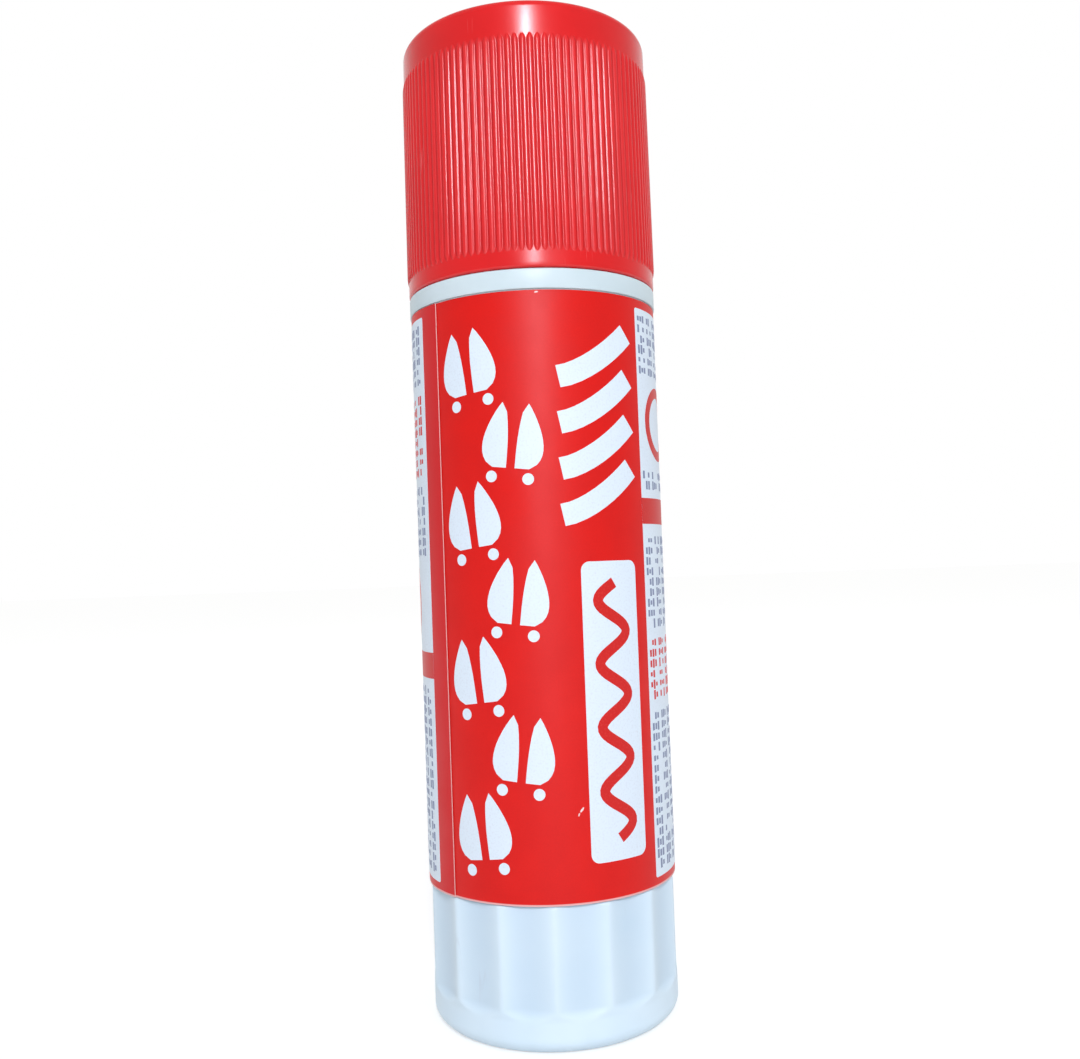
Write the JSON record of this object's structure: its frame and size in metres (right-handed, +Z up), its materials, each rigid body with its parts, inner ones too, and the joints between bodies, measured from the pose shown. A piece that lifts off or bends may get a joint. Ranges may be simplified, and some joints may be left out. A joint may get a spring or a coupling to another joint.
{
  "type": "marking crayon",
  "caption": "Twist-up animal marking crayon: round labelled tube with a ribbed pull-off cap and a fluted base knob that winds a red wax stick up a lead screw.",
  "frame": {"origin": "centre of the knob's base, on the surface that the crayon stands on", "axes": "+Z up the tube's axis to the cap, -Y to the label's front, +X to the label's right as seen from the front"},
  "size_m": [0.0304, 0.0304, 0.1168],
  "materials": {
    "red_plastic": "satin-gloss moulded polypropylene",
    "white_plastic": "satin moulded polypropylene",
    "label_film": "satin printed film",
    "natural_plastic": "uncoloured moulded polypropylene",
    "wax": "dull cast wax"
  },
  "bodies": {
    "barrel": {"barrel": "white_plastic", "label": "label_film"},
    "knob": {"twist_knob": "white_plastic", "lead_screw": "white_plastic"},
    "stick": {"carrier": "natural_plastic", "wax_stick": "wax"},
    "cap": {"cap": "red_plastic"}
  },
  "joints": [
    {"name": "knob_turn", "type": "hinge", "parent": "barrel", "child": "knob", "pos_m": [0, 0, 0.008], "axis": [0, 0, 1], "range_deg": [0, 3600]},
    {"name": "stick_rise", "type": "slide", "parent": "barrel", "child": "stick", "axis": [0, 0, 1], "range_m": [0, 0.055]},
    {"name": "cap_pull", "type": "slide", "parent": "stick", "child": "cap", "axis": [0, 0, 1], "range_m": [0, 0.034]}
  ],
  "couplings": [
    {"joint": "knob_turn", "follows": "stick_rise", "rad_per_m": 1142.4}
  ]
}
